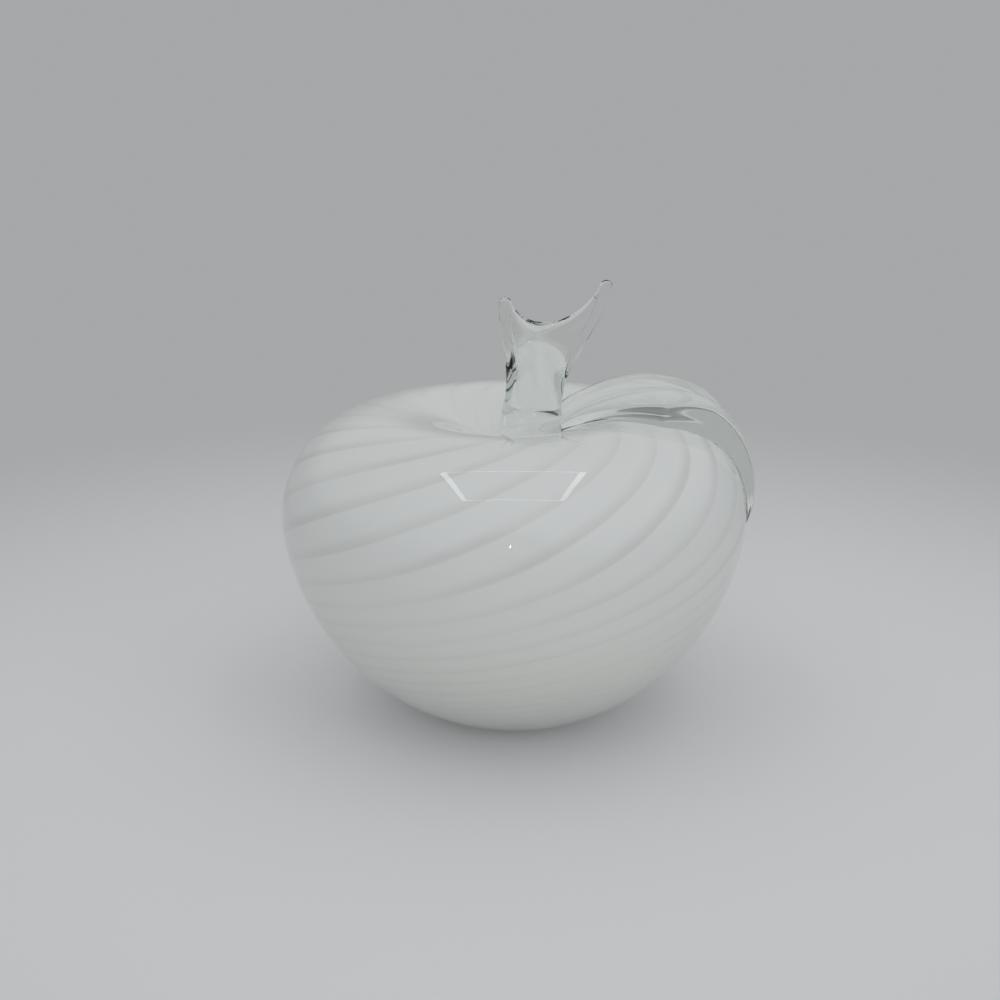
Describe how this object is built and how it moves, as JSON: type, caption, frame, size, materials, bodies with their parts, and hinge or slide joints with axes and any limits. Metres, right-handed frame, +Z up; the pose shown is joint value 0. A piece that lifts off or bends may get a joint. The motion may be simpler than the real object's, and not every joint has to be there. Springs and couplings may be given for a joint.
{
  "type": "art glass apple",
  "caption": "Hand-blown cased glass apple: white opal swirl under a clear casing, with a forked clear stem and a ribbed clear leaf laid over the shoulder; a free-standing ornament.",
  "frame": {"origin": "on the resting plane, under the axis of the blown body", "axes": "+Z up along the body's axis, +X towards the leaf, -Y towards the viewer of the picture"},
  "size_m": [0.1158, 0.114, 0.107],
  "materials": {
    "casing_glass": "gloss",
    "bubble_glass": "gloss",
    "applied_glass": "gloss",
    "opal_glass": "gloss"
  },
  "bodies": {
    "root": {"clear_casing": "casing_glass", "inner_bubble": "bubble_glass", "neck_plug": "applied_glass", "stem": "applied_glass", "leaf": "applied_glass", "opal_cane_01": "opal_glass", "opal_cane_02": "opal_glass", "opal_cane_03": "opal_glass", "opal_cane_04": "opal_glass", "opal_cane_05": "opal_glass", "opal_cane_06": "opal_glass", "opal_cane_07": "opal_glass", "opal_cane_08": "opal_glass", "opal_cane_09": "opal_glass", "opal_cane_10": "opal_glass", "opal_cane_11": "opal_glass", "opal_cane_12": "opal_glass", "opal_cane_13": "opal_glass", "opal_cane_14": "opal_glass", "opal_cane_15": "opal_glass", "opal_cane_16": "opal_glass", "opal_cane_17": "opal_glass", "opal_cane_18": "opal_glass"}
  },
  "joints": []
}
